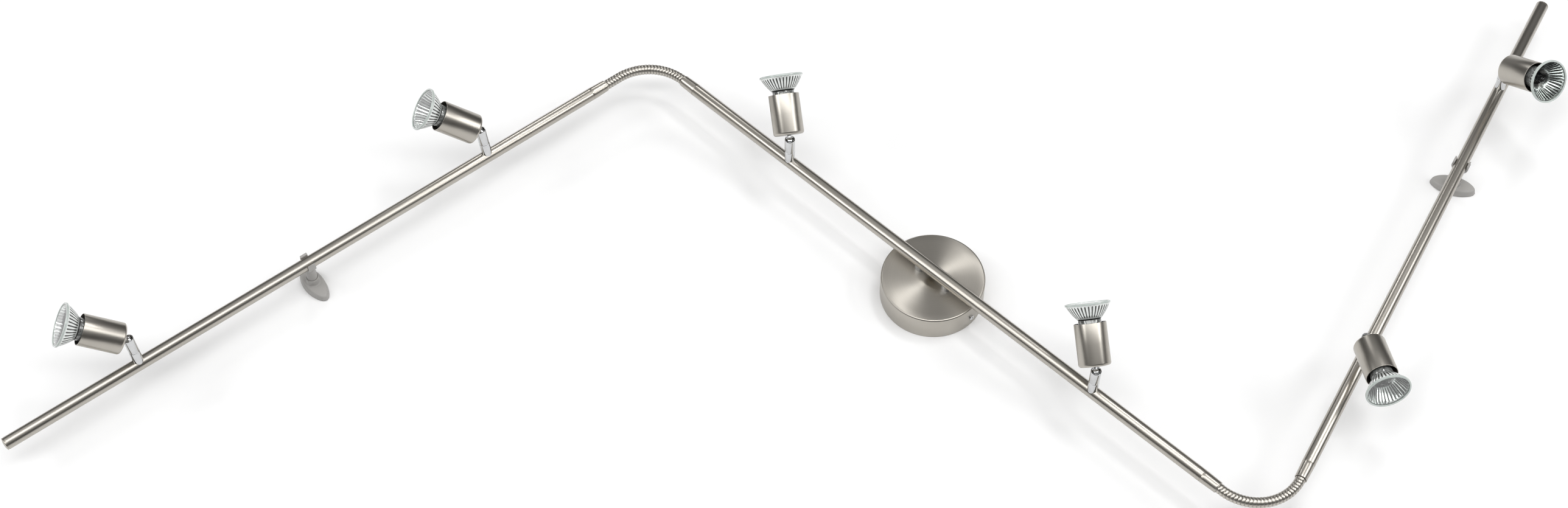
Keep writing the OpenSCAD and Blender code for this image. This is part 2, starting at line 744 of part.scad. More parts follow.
// Reflector lamp: glass bowl, ceramic base with two pins, capsule, front glass.
module lamp(n) color(glass_pale)
    on_pivot(n) {
        rotate_extrude() reflector_outline();
        translate([0, 0, lamp_base]) cylinder(r = lamp_neck_r - glass_t - plug_gap, h = lamp_body_l);
        translate([0, 0, lamp_base + lamp_collar_z]) cylinder(r = lamp_neck_r, h = lamp_collar_t);
        at_lamp_pins() {
            translate([0, 0, lamp_base - lamp_pin_l]) cylinder(r = pin_head_r, h = pin_head_t);
            translate([0, 0, lamp_base - lamp_pin_l + pin_head_t]) cylinder(r = lamp_pin_r, h = lamp_pin_l);
        }
        translate([0, 0, lamp_base + lamp_body_l]) {
            cylinder(r = burner_neck_r, h = burner_neck_l);
            translate([0, 0, burner_neck_l]) cylinder(r = burner_r, h = burner_l);
            translate([0, 0, burner_neck_l + burner_l]) sphere(r = burner_r);
        }
        translate([0, 0, lamp_front - glass_set])
            cylinder(r = lamp_rim_r - glass_t - running_gap, h = front_glass_t);
    }

// ---- drawing --------------------------------------------------------------

canopy();
ceiling_bracket();
canopy_screws();
terminal_block();
canopy_nipples();
nipple_nuts();
canopy_wires();
centre_tube();
centre_ferrules();
centre_stem_bases();
left_gooseneck();
right_gooseneck();
left_tube();
left_end_cap();
left_ferrule();
left_stem_bases();
right_tube();
right_end_cap();
right_ferrule();
right_stem_bases();
left_clip();
left_foot();
right_clip();
right_foot();
socket(1);  // head_1_socket
pins(1);  // head_1_pins
knuckle(1);  // head_1_knuckle
can(1);  // head_1_can
lampholder(1);  // head_1_lampholder
lamp(1);  // head_1_lamp
socket(2);  // head_2_socket
pins(2);  // head_2_pins
knuckle(2);  // head_2_knuckle
can(2);  // head_2_can
lampholder(2);  // head_2_lampholder
lamp(2);  // head_2_lamp
socket(3);  // head_3_socket
pins(3);  // head_3_pins
knuckle(3);  // head_3_knuckle
can(3);  // head_3_can
lampholder(3);  // head_3_lampholder
lamp(3);  // head_3_lamp
socket(4);  // head_4_socket
pins(4);  // head_4_pins
knuckle(4);  // head_4_knuckle
can(4);  // head_4_can
lampholder(4);  // head_4_lampholder
lamp(4);  // head_4_lamp
socket(5);  // head_5_socket
pins(5);  // head_5_pins
knuckle(5);  // head_5_knuckle
can(5);  // head_5_can
lampholder(5);  // head_5_lampholder
lamp(5);  // head_5_lamp
socket(6);  // head_6_socket
pins(6);  // head_6_pins
knuckle(6);  // head_6_knuckle
can(6);  // head_6_can
lampholder(6);  // head_6_lampholder
lamp(6);  // head_6_lamp
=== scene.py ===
"""A bendable ceiling spot bar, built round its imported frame.

Shapes are worked out in millimetres and stored in metres. Each section is one
piece, or one group of like pieces, in the order the bar is put together.
"""

import json
import math

import bmesh
import bpy
import numpy as np
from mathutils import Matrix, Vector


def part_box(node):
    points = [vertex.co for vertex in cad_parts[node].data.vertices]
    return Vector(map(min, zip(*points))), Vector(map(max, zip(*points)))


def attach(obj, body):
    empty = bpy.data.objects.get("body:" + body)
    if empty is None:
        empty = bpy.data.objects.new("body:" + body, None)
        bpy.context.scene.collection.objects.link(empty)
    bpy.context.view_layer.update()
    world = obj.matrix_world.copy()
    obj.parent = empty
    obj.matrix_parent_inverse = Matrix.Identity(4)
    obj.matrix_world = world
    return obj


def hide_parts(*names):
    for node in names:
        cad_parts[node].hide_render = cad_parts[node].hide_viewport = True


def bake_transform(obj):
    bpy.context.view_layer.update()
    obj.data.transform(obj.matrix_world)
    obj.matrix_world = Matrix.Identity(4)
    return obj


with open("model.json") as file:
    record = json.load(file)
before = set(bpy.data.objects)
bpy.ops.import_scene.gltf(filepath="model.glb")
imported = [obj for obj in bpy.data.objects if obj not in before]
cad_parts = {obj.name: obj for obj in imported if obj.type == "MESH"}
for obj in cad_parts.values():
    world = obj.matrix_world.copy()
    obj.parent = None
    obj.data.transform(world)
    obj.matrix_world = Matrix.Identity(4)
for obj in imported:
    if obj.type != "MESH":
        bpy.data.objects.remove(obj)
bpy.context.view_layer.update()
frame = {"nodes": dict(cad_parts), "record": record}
joints = {j["name"]: j for j in frame["record"]["behaviour"]["joints"]}

# ---- Canopy ----------------------------------------------------------------
# A dish spun from thin steel sheet and plated in satin nickel. The spinning
# leaves fine rings round its middle. Two side screws hold it to the strap.

MM = 0.001


def place(origin, z_axis=(0, 0, 1), x_axis=(1, 0, 0)):
    """Rigid placement as 4 columns: X, Y and Z directions, then the origin in mm. Y completes
    X and Z."""
    z = np.array(z_axis, float) / np.linalg.norm(z_axis)
    y = np.cross(z, x_axis)
    y = y / np.linalg.norm(y)
    return np.column_stack([np.cross(y, z), y, z, np.array(origin, float)])


def put(points, where):
    """Points carried by a placement: the sum of each coordinate times its axis, plus the origin."""
    return points @ where[:, :3].T + where[:, 3]


def heading(degrees):
    """Unit vector in the ceiling plane at an angle from X."""
    return np.array([math.cos(math.radians(degrees)), math.sin(math.radians(degrees)), 0.0])


def surface(name, grids, where, finish, soft_angle=32):
    """A piece from grids of points (rows, columns, 3). Each grid closes across its columns, and one
    flagged "torus" closes along its rows too. Coinciding points are merged, so poles and seams are
    shut. The points before placement are kept as the attribute "local", in metres, for patterns
    that follow the piece."""
    verts, faces, start = [], [], 0
    for points, closing in grids:
        rows, cols, _ = points.shape
        r = np.arange(rows if closing == "torus" else rows - 1)
        i, j = np.meshgrid(r, np.arange(cols), indexing="ij")
        i2, j2 = (i + 1) % rows, (j + 1) % cols
        quads = np.stack([i * cols + j, i * cols + j2, i2 * cols + j2, i2 * cols + j], axis=-1)
        faces.append(quads.reshape(-1, 4) + start)
        verts.append(points.reshape(-1, 3))
        start += rows * cols
    local = np.concatenate(verts)
    mesh = bpy.data.meshes.new(name)
    mesh.from_pydata(local * MM, [], np.concatenate(faces))
    kept = mesh.attributes.new("local", "FLOAT_VECTOR", "POINT")
    kept.data.foreach_set("vector", (local * MM).astype(np.float32).ravel())
    work = bmesh.new()
    work.from_mesh(mesh)
    bmesh.ops.remove_doubles(work, verts=work.verts, dist=2e-6)
    bmesh.ops.recalc_face_normals(work, faces=work.faces)
    work.to_mesh(mesh)
    work.free()
    flat = np.empty(len(mesh.vertices) * 3, np.float32)
    mesh.vertices.foreach_get("co", flat)
    placed = put(flat.reshape(-1, 3).astype(float) / MM, where) * MM
    mesh.vertices.foreach_set("co", placed.astype(np.float32).ravel())
    mesh.polygons.foreach_set("use_smooth", np.ones(len(mesh.polygons), bool))
    mesh.set_sharp_from_angle(angle=math.radians(soft_angle))
    mesh.materials.append(finish)
    piece = bpy.data.objects.new(name, mesh)
    bpy.context.scene.collection.objects.link(piece)
    return piece


def turned(outline, steps):
    """Surface of revolution: each (radius, height) of the outline is carried round Z."""
    angle = 2 * math.pi * np.arange(steps) / steps
    radius, height = np.array(outline, float).T
    return np.stack([np.outer(radius, np.cos(angle)), np.outer(radius, np.sin(angle)),
                     np.repeat(height[:, None], steps, axis=1)], axis=-1)


def arc(x, y, radius, from_angle, to_angle, count=6):
    """Points on a circle about (x, y), from one angle to another in degrees."""
    a = np.radians(np.linspace(from_angle, to_angle, count))
    return [(x + radius * math.cos(t), y + radius * math.sin(t)) for t in a]


class Socket:
    """An output of a node. An expression on it adds the Math nodes that work it out."""

    def __init__(self, output):
        self.output = output

    def maths(self, operation, *values):
        tree = self.output.id_data
        node = tree.nodes.new("ShaderNodeMath")
        node.operation = operation
        for value, plug in zip(values, node.inputs):
            if isinstance(value, Socket):
                tree.links.new(value.output, plug)
            else:
                plug.default_value = value
        return Socket(node.outputs[0])

    def __add__(self, other):
        return self.maths("ADD", self, other)

    def __sub__(self, other):
        return self.maths("SUBTRACT", self, other)

    def __rsub__(self, other):
        return self.maths("SUBTRACT", other, self)

    def __mul__(self, other):
        return self.maths("MULTIPLY", self, other)

    def __pow__(self, other):
        return self.maths("POWER", self, other)

    def __gt__(self, other):
        return self.maths("GREATER_THAN", self, other)

    __radd__ = __add__
    __rmul__ = __mul__


class Finish:
    """A material being written. Constants go straight onto the shader's own sockets."""

    def __init__(self, name, **constants):
        self.material = bpy.data.materials.new(name)
        self.material.use_nodes = True
        self.tree = self.material.node_tree
        self.shader = self.tree.nodes["Principled BSDF"]
        for socket, value in constants.items():
            self.shader.inputs[socket.replace("_", " ")].default_value = value

    def node(self, kind, sockets=None, settings=None, output=0):
        """Adds one node: its settings first, then the values or links of its sockets."""
        made = self.tree.nodes.new("ShaderNode" + kind)
        for key, value in (settings or {}).items():
            if key == "stops":
                while len(made.color_ramp.elements) < len(value):
                    made.color_ramp.elements.new(1.0)
                for stop, (at, colour) in zip(made.color_ramp.elements, value):
                    stop.position = at
                    stop.color = (*colour, 1.0)
            else:
                setattr(made, key, value)
        for key, value in (sockets or {}).items():
            if isinstance(value, Socket):
                self.tree.links.new(value.output, made.inputs[key])
            else:
                made.inputs[key].default_value = value
        return Socket(made.outputs[output])

    def kept(self, name, output):
        """A value stored on the piece's points under a name."""
        return self.node("Attribute", settings={"attribute_name": name}, output=output)

    def local(self, scale=(1, 1, 1)):
        """The piece's own coordinates before it was placed, stretched along each axis."""
        return self.node("VectorMath", {0: self.kept("local", 1), 1: scale},
                         {"operation": "MULTIPLY"})

    def distance_out(self):
        """How far a point lies from the piece's own Z axis."""
        return self.node("VectorMath", {0: self.local((1, 1, 0))}, {"operation": "LENGTH"}, output=1)

    def distance_up(self):
        """How far a point lies along the piece's own Z axis."""
        return self.node("SeparateXYZ", {"Vector": self.kept("local", 1)}, output=2)

    def noise(self, vector, scale, detail=3.0, roughness=0.5):
        return self.node("TexNoise", {"Vector": vector, "Scale": scale, "Detail": detail,
                                      "Roughness": roughness})

    def tint(self, factor, low, high):
        """A colour between two, through a Mix node."""
        return self.node("Mix", {0: factor, 6: (*low, 1), 7: (*high, 1)}, {"data_type": "RGBA"},
                         output=2)

    def feed(self, socket, value):
        self.tree.links.new(value.output, self.shader.inputs[socket])

    def bump(self, height, strength, distance):
        self.feed("Normal", self.node("Bump", {"Height": height, "Strength": strength,
                                               "Distance": distance}))


NICKEL_DARK = (0.395, 0.371, 0.331)
NICKEL_PALE = (0.515, 0.489, 0.444)


def rings_of(finish, scale):
    """Height of fine turning marks: noise over radius and height only, so it runs in rings."""
    across = finish.node("CombineXYZ", {"X": finish.distance_out(), "Z": finish.distance_up()})
    return finish.noise(across, scale, detail=6.0, roughness=0.7)


canopy_finish = Finish("spun_satin_nickel", Metallic=1.0, Anisotropic=0.88)
rings = rings_of(canopy_finish, 900)
patches = canopy_finish.noise(canopy_finish.local((1, 1, 1)), 26)
canopy_finish.feed("Base Color", canopy_finish.tint(rings * 0.6 + patches * 0.4,
                                                    NICKEL_DARK, NICKEL_PALE))
canopy_finish.feed("Roughness", 0.27 + rings * 0.1 + patches * 0.06)
canopy_finish.bump(rings, 0.25, 0.00006)

canopy_r, canopy_h, sheet, edge_r = 60.0, 33.0, 1.2, 2.2
lip = 0.35
canopy_outline = (
    [(0, canopy_h - sheet), (canopy_r - edge_r, canopy_h - sheet)]
    + arc(canopy_r - edge_r, canopy_h - edge_r, edge_r - sheet, 90, 0)
    + [(canopy_r - sheet, lip)]
    + arc(canopy_r - sheet / 2, lip, sheet / 2, 180, 360, 7)
    + [(canopy_r, canopy_h * 0.5)]
    + arc(canopy_r - edge_r, canopy_h - edge_r, edge_r, 0, 90, 10)
    + [(r, canopy_h) for r in (50, 40, 30, 20, 10)]
    + [(0, canopy_h)]
)
canopy = surface("canopy_dish", [(turned(canopy_outline, 192), "ring")], place((0, 0, 0)),
                 canopy_finish.material)
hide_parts("canopy")
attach(canopy, "middle")

# ---- Side screws -----------------------------------------------------------
# Two small chromed screws with a domed, slotted head, through the canopy's wall.

chrome_finish = Finish("polished_chrome", Metallic=1.0)
smears = chrome_finish.noise(chrome_finish.local((1, 1, 1)), 240, detail=4)
chrome_finish.feed("Base Color", chrome_finish.tint(smears, (0.54, 0.545, 0.55), (0.66, 0.665, 0.67)))
chrome_finish.feed("Roughness", 0.05 + smears * 0.07)
chrome_finish.bump(smears, 0.08, 0.00002)
chrome = chrome_finish.material

screw_angle, screw_z, screw_r = -45.0, 15.0, 3.0


def slotted_head(radius, height, slot_half=0.45, slot_deep=1.0, steps=64, rings_count=14):
    """A dome whose height falls with the square of the radius, less a straight slot across it."""
    r = np.concatenate([np.linspace(0, 1, rings_count), [1.0, 1.0]]) * radius
    a = 2 * np.pi * np.arange(steps) / steps
    x, y = np.outer(r, np.cos(a)), np.outer(r, np.sin(a))
    z = height * (1 - 0.35 * (x**2 + y**2) / radius**2)
    z = np.where(np.abs(y) < slot_half, np.minimum(z, height - slot_deep), z)
    z[-2], z[-1] = 0.25, 0.0
    return np.stack([x, y, z], axis=-1)


heads = []
for turn in (screw_angle, screw_angle + 180):
    out = heading(turn)
    where = place(out * (canopy_r - 0.04) + np.array([0, 0, screw_z]), out, (0, 0, 1))
    shank = turned([(2.0, 0.1), (2.0, -5.5), (1.6, -6.0), (0, -6.0)], 32)
    heads.append((put(slotted_head(screw_r, 2.8), where), "ring"))
    heads.append((put(shank, where), "ring"))
screws = surface("canopy_side_screws", heads, place((0, 0, 0)), chrome)
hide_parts("canopy_screws")
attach(screws, "middle")

# ---- Strap, nipples, nuts, terminal block and cores --------------------------
# The hidden fixings: zinc plated steel, a moulded block and insulated cores.

zinc = Finish("zinc_plated_steel", Metallic=1.0)
crystals = zinc.node("TexVoronoi", {"Vector": zinc.node("TexCoord", output=3), "Scale": 420.0})
zinc.feed("Base Color", zinc.tint(crystals, (0.42, 0.43, 0.45), (0.62, 0.63, 0.64)))
zinc.feed("Roughness", 0.34 + crystals * 0.2)

block_plastic = Finish("cream_block_plastic", Roughness=0.5)
grain = block_plastic.noise(block_plastic.node("TexCoord", output=3), 900)
block_plastic.feed("Base Color", block_plastic.tint(grain, (0.72, 0.67, 0.56), (0.80, 0.76, 0.66)))
block_plastic.bump(grain, 0.2, 0.00005)

core_plastic = Finish("core_insulation", Roughness=0.42)
core_grain = core_plastic.noise(core_plastic.node("TexCoord", output=3), 700)
core_plastic.feed("Base Color", core_plastic.tint(core_grain, (0.10, 0.05, 0.03),
                                                  (0.16, 0.08, 0.045)))

ceramic = Finish("lampholder_ceramic", Roughness=0.55)
speck = ceramic.noise(ceramic.node("TexCoord", output=3), 1500, detail=5)
ceramic.feed("Base Color", ceramic.tint(speck, (0.74, 0.71, 0.64), (0.84, 0.82, 0.76)))
ceramic.bump(speck, 0.25, 0.00005)

hidden = {"ceiling_bracket": zinc, "canopy_nipples": zinc, "nipple_nuts": zinc,
          "terminal_block": block_plastic, "canopy_wires": core_plastic}
for n in range(1, 7):
    hidden[f"head_{n}_pins"] = zinc
    hidden[f"head_{n}_lampholder"] = ceramic
for node_name, finish in hidden.items():
    for material_slot in frame["nodes"][node_name].material_slots:
        material_slot.material = finish.material

# ---- Tubes -------------------------------------------------------------------
# Three lengths of drawn steel tube, satin nickel plated. Polishing along the
# tube leaves very fine lines that run its whole length.

tube_r, tube_wall, tube_z, base_top = 7.5, 1.2, 46.0, 22.5


def drawn_nickel(name, grain_scale):
    """Satin nickel with lengthwise polishing lines: noise stretched far along local Z."""
    made = Finish(name, Metallic=1.0)
    lines = made.noise(made.local((1, 1, 0.012)), grain_scale, detail=5, roughness=0.65)
    cloud = made.noise(made.local((1, 1, 0.4)), 30)
    made.feed("Base Color", made.tint(lines * 0.5 + cloud * 0.5, NICKEL_DARK, NICKEL_PALE))
    made.feed("Roughness", 0.24 + lines * 0.07 + cloud * 0.05)
    made.bump(lines, 0.12, 0.00004)
    return made.material


tube_nickel = drawn_nickel("drawn_satin_nickel", 1400)


def bar_axis(node, along):
    """Middle and half length of a straight round node, from its box and its direction."""
    low, high = (np.array(v, float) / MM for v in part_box(node))
    half = (high - low) / 2
    k = int(np.argmax(np.abs(along)))
    reach = (half[k] - tube_r * math.sqrt(1 - along[k] ** 2)) / abs(along[k])
    return (low + high) / 2, reach


left_dir = np.array(joints["left_clip_slide"]["axis"], float)
right_dir = np.array(joints["right_clip_slide"]["axis"], float)
ups = {n: np.array(joints[f"head_{n}_turn"]["axis"], float) for n in range(1, 7)}
feet = {n: np.array(joints[f"head_{n}_turn"]["pos_m"], float) / MM - base_top * ups[n]
        for n in range(1, 7)}
centre_dir = feet[4] - feet[3]
centre_dir = centre_dir / np.linalg.norm(centre_dir)
tubes = {"centre": ("middle", centre_dir), "left": ("left_arm", left_dir),
         "right": ("right_arm", right_dir)}
seams, nip = {}, 0.25
for side, (body, along) in tubes.items():
    middle, reach = bar_axis(f"{side}_tube", along)
    seams[side] = (middle - along * reach, middle + along * reach)
    outline = (
        [(tube_r - tube_wall, 0), (tube_r - nip, 0)] + arc(tube_r - nip, nip, nip, -90, 0, 4)
        + arc(tube_r - nip, 2 * reach - nip, nip, 0, 90, 4) + [(tube_r - tube_wall, 2 * reach)]
    )
    tube = surface(f"{side}_drawn_tube", [(turned(outline, 96), "torus")],
                   place(middle - along * reach, along, (0, 0, 1)), tube_nickel)
    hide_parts(f"{side}_tube")
    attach(tube, body)

# ---- End caps ------------------------------------------------------------------
# Pressed plugs with a low dome, pushed into the outer ends of the bar.

cap_t, plug_l, plug_r = 3.0, 12.0, 6.2
for side in ("left", "right"):
    body, along = tubes[side]
    dome = [(r, cap_t - cap_t * 0.42 * (r / tube_r) ** 2) for r in np.linspace(tube_r - 0.6, 0, 9)]
    outline = ([(0, -plug_l), (plug_r - 0.2, -plug_l), (plug_r, -plug_l + 0.4), (plug_r, -0.02),
                (tube_r - 0.35, 0.02), (tube_r - 0.35, 0.35), (tube_r - 0.05, 0.5)]
               + arc(tube_r - 0.6, 1.25, 0.55, 0, 75, 5) + dome)
    cap = surface(f"{side}_domed_cap", [(turned(outline, 96), "ring")],
                  place(seams[side][1], along, (0, 0, 1)), tube_nickel)
    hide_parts(f"{side}_end_cap")
    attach(cap, body)

# ---- Ferrules --------------------------------------------------------------------
# Turned sleeves that join a neck to a tube. They taper to a rolled mouth, and a
# fine groove shows where each meets its tube.

ferrule_l, mouth_r, neck_r = 21.0, 6.9, 6.0
groove_deep, groove_w = 0.4, 0.6
wire_way_r, neck_stop = 4.0, 7.0


def ferrule_grid():
    """A tapering sleeve as one closed outline: plug, groove, cone, rolled mouth and bore."""
    roll = 0.4
    outline = (
        [(wire_way_r, -plug_l), (plug_r, -plug_l), (plug_r, 0.0), (tube_r - groove_deep, 0.02),
         (tube_r - groove_deep, groove_w - 0.1), (tube_r - 0.1, groove_w)]
        + [(tube_r + (mouth_r - tube_r) * t, groove_w + (ferrule_l - groove_w - roll) * t)
           for t in np.linspace(0.02, 1, 8)]
        + arc(mouth_r - roll, ferrule_l - roll, roll, 0, 90, 6)
        + [(neck_r + 0.05, ferrule_l - 0.3), (neck_r + 0.05, neck_stop), (wire_way_r, neck_stop)]
    )
    return turned(outline, 96)


centre_ends = [(seams["centre"][0], -centre_dir), (seams["centre"][1], centre_dir)]
turned_nickel = drawn_nickel("turned_satin_nickel", 1100)
for name, ends, node_name, body in (
        ("centre_turned_ferrules", centre_ends, "centre_ferrules", "middle"),
        ("left_turned_ferrule", [(seams["left"][0], -left_dir)], "left_ferrule", "left_arm"),
        ("right_turned_ferrule", [(seams["right"][0], -right_dir)], "right_ferrule", "right_arm")):
    grids = [(put(ferrule_grid(), place(at, along, (0, 0, 1))), "torus") for at, along in ends]
    sleeve = surface(name, grids, place((0, 0, 0)), turned_nickel)
    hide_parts(node_name)
    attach(sleeve, body)

# ---- Necks -----------------------------------------------------------------------
# Flexible conduit: a steel strip wound into interlocking rounded ribs, so it holds any bend. Each neck is
# made as two halves that meet halfway round the bend.

neck_finish = Finish("ribbed_satin_nickel", Metallic=1.0)
worn = neck_finish.noise(neck_finish.node("TexCoord", output=3), 180, detail=4)
ribs_up = neck_finish.kept("crest", 2)
# Colour runs from near black in the grooves between ribs, which is painted shade, to pale nickel on the
# crests.
neck_finish.feed("Base Color", neck_finish.tint(ribs_up**0.8, (0.16, 0.148, 0.132), NICKEL_PALE))
neck_finish.feed("Roughness", 0.42 - ribs_up * 0.16 + worn * 0.1)
neck_finish.bump(worn, 0.15, 0.00004)
rib_pitch, rib_deep, tuck = 3.9, 0.75, 6.0


def conduit(name, centre_line, tangent, rib_phase, finish):
    """Conduit along a line: the radius rises and falls with the distance run, as the square root of
    the size of a sine, which gives round crests and sharp grooves. Both ends are closed over."""
    steps = 48
    crest = np.sqrt(np.abs(np.sin(np.pi * rib_phase / rib_pitch)))
    radius = neck_r - rib_deep + rib_deep * crest
    up = np.array([0.0, 0.0, 1.0])
    side = np.cross(up, tangent)
    angle = 2 * np.pi * np.arange(steps) / steps
    ring = np.cos(angle)[None, :, None] * side[:, None, :] + np.sin(angle)[None, :, None] * up
    outer = centre_line[:, None, :] + radius[:, None, None] * ring
    ends = [centre_line[[k]][:, None, :] + 0 * ring[[k]] for k in (0, -1)]
    grid = np.concatenate([ends[0], outer, ends[1]])
    return surface(name, [(grid, "ring")], place((0, 0, 0)), finish, soft_angle=60)


for side, body, outer_body, from_seam, along_in, along_out in (
        ("left", "left_neck", "left_arm", seams["centre"][0], -centre_dir, left_dir),
        ("right", "right_neck", "right_arm", seams["centre"][1], centre_dir, right_dir)):
    hinge_a, hinge_b = (np.array(joints[f"{side}_neck_bend{tail}"]["pos_m"], float) / MM
                        for tail in ("", "_outer"))
    turn_in = math.degrees(math.atan2(along_in[1], along_in[0]))
    bend = math.degrees(math.atan2(np.cross(along_in, along_out)[2], along_in @ along_out))
    bend_r = np.linalg.norm(hinge_b - hinge_a) / (2 * math.sin(math.radians(bend / 4)))
    hub = hinge_a - bend_r * heading(turn_in + bend / 4 - 90)
    mouth = seams[side][0] - ferrule_l * along_out
    arc_l = bend_r * math.radians(bend)
    lead = (mouth - hub) @ along_out
    lead_in = (hub - from_seam - ferrule_l * along_in) @ along_in
    for half, (s0, s1), (body_a, body_b) in (
            ("inner", (-lead_in - tuck, arc_l / 2), ("middle", body)),
            ("outer", (arc_l / 2, arc_l + lead + tuck), (body, outer_body))):
        s = np.linspace(s0, s1, int((s1 - s0) / rib_pitch * 12))
        on_arc = np.clip(s, 0, arc_l)
        turn = np.radians(turn_in - 90) + on_arc / bend_r
        radial = np.stack([np.cos(turn), np.sin(turn), 0 * turn], axis=-1)
        tangent = np.stack([-np.sin(turn), np.cos(turn), 0 * turn], axis=-1)
        line = hub + bend_r * radial + (s - on_arc)[:, None] * tangent
        piece = conduit(f"{side}_conduit_{half}", line, tangent, s, neck_finish.material)
        fixed_to = line[0] if half == "outer" else hub + bend_r * heading(turn_in - 90)
        free_from = line[-1] if half == "inner" else hub + bend_r * heading(turn_in + bend - 90)
        tuple(fixed_to * MM)
        tuple(free_from * MM)
        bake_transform(piece)
        if half == "inner":
            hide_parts(f"{side}_gooseneck")
        # The crest height is 0 in a groove and 1 on a crest; it sets the painted shade in the grooves.
        crest_of = piece.data.attributes.new("crest", "FLOAT", "POINT")
        co = np.empty(len(piece.data.vertices) * 3, np.float32)
        piece.data.vertices.foreach_get("co", co)
        to_line = co.reshape(-1, 3)[:, None, :] / MM - line[None, ::3, :]
        height = np.linalg.norm(to_line, axis=2).min(axis=1) - neck_r + rib_deep
        crest_of.data.foreach_set("value", np.clip(height / rib_deep, 0, 1).astype(np.float32))

# ---- Clips -----------------------------------------------------------------------
# Moulded grey plastic: a round post whose two arms hook round the tube and
# flare outward at their tips. The spring of the arms grips the tube.

plastic = Finish("grey_moulded_plastic", Roughness=0.42)
skin = plastic.noise(plastic.node("TexCoord", output=3), 1300, detail=4)
shade = plastic.noise(plastic.node("TexCoord", output=3), 60)
plastic.feed("Base Color", plastic.tint(shade * 0.7 + skin * 0.3, (0.335, 0.325, 0.31),
                                        (0.43, 0.42, 0.405)))
plastic.feed("Roughness", 0.34 + skin * 0.2)
plastic.bump(skin, 0.3, 0.00004)

clip_in, clip_t, clip_w, clip_reach = 7.75, 2.4, 10.0, 125.0
flare_from, flare_out = 108.0, 1.5
post_r, post_low = 6.0, 2.5


def rounded_bar(width, height, corner, per_corner=4):
    """Outline of a bar's cross-section with round corners, about its middle."""
    points = []
    for sx, sy, a in ((1, 1, 0), (-1, 1, 90), (-1, -1, 180), (1, -1, 270)):
        points += arc(sx * (width / 2 - corner), sy * (height / 2 - corner), corner, a, a + 90,
                      per_corner)
    return np.array(points)


def clip_arms():
    """A bar carried round the tube. Towards its tips its radius grows with the square of the angle
    past a limit, and it narrows a little."""
    section = rounded_bar(clip_t, clip_w, 0.7)
    turn = np.linspace(-clip_reach, clip_reach, 61)
    past = np.clip(np.abs(turn) - flare_from, 0, None) / (clip_reach - flare_from)
    flare = flare_out * past**2
    narrow = 1 - 0.12 * np.clip(np.abs(turn) / clip_reach, 0, 1) ** 2
    radius = clip_in + clip_t / 2 + flare[:, None] + section[None, :, 0]
    t = np.radians(turn)[:, None]
    rows = np.stack([section[None, :, 1] * narrow[:, None], radius * np.sin(t), -radius * np.cos(t)],
                    axis=-1)
    first, last = (rows[[k]].mean(axis=1, keepdims=True) + 0 * rows[[k]] for k in (0, -1))
    return np.concatenate([first, rows, last])


def clip_post():
    """A round post whose top is cut to a cylinder inside the arms' thickness."""
    a = 2 * np.pi * np.arange(64) / 64
    ring = np.stack([np.cos(a), np.sin(a)], axis=-1)
    rows = []
    low = post_low - tube_z
    for r, z in [(0, low), (post_r - 0.5, low), (post_r, low + 0.5), (post_r, -clip_in - 4)]:
        rows.append(np.column_stack([ring * r, np.full(64, z)]))
    for r in (post_r, post_r * 0.6, 0):
        xy = ring * r
        rows.append(np.column_stack([xy, -np.sqrt((clip_in + 0.8) ** 2 - xy[:, 1] ** 2)]))
    return np.stack(rows)


# ---- Feet ------------------------------------------------------------------------
# Moulded grey plastic boats that rest on the ceiling. A collar on each takes the
# clip's post, and the foot turns on it.

foot_l, foot_w, foot_h, collar_top, draft, edge_roll = 55.0, 25.0, 9.5, 18.0, 1.2, 3.0


def round_rows(rows, a):
    """A grid from rows of (radius, height), each a value or an array, at the angles a round Z."""
    return np.stack([np.column_stack([r * np.cos(a), r * np.sin(a), z + 0 * a]) for r, z in rows])


def foot_boat():
    """A boat seen from above is where two circles overlap, its points rounded by a soft minimum with
    a third circle. From its middle the top falls with the square of the distance, then rolls over
    a round edge into a wall that leans in slightly."""
    a = np.linspace(0, 2 * np.pi, 120, endpoint=False)
    tip, half_w = 0.56 * foot_l, foot_w / 2
    side = (tip**2 + half_w**2) / (2 * half_w)
    off = side - half_w
    lens = -off * np.abs(np.sin(a)) + np.sqrt(side**2 - (off * np.cos(a)) ** 2)
    plan = (lens**-16.0 + (foot_l / 2) ** -16.0) ** (-1 / 16)
    flat, crown = plan - draft - edge_roll, 300
    rows = [(share * flat, foot_h - (share * flat) ** 2 / crown) for share in np.linspace(0, 1, 9)]
    top_edge = foot_h - flat**2 / crown
    for t in np.radians(np.linspace(75, 0, 7)):
        rows.append((flat + edge_roll * math.cos(t), top_edge - edge_roll * (1 - math.sin(t))))
    rows += [(plan - 0.15, 0.5), (plan - 0.5, 0), (0, 0)]
    return round_rows(rows, a)


collar_r, bore_r = 7.5, 6.12
collar_outline = (
    [(bore_r, 5.0), (collar_r + 2.2, 7.6)] + arc(collar_r + 2.0, foot_h + 1.9, 2.0, 270, 180, 6)
    + arc(collar_r - 0.5, collar_top - 0.5, 0.5, 0, 90, 5)
    + arc(bore_r + 0.3, collar_top - 0.3, 0.3, 90, 180, 4)
)
foot_turns = {"left": -52.0, "right": -20.0}
for side in ("left", "right"):
    along = tubes[side][1]
    spot = np.array(joints[f"{side}_foot_swivel"]["pos_m"], float) / MM
    on_tube = place([spot[0], spot[1], tube_z], (0, 0, 1), along)
    clip = surface(f"{side}_hook_clip", [(clip_arms(), "ring"), (clip_post(), "ring")], on_tube,
                   plastic.material, soft_angle=40)
    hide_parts(f"{side}_clip")
    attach(clip, f"{side}_clip_body")
    foot = surface(f"{side}_boat_foot",
                   [(foot_boat(), "ring"), (turned(collar_outline, 64), "torus")],
                   place([spot[0], spot[1], 0], (0, 0, 1), heading(foot_turns[side])),
                   plastic.material, soft_angle=40)
    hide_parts(f"{side}_foot")
    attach(foot, f"{side}_foot_body")

# ---- Stem bases --------------------------------------------------------------------
# Chromed brass, turned from bar. Each sits on the tube with a saddle-shaped foot
# and ends in a riveted spigot that the socket turns on.

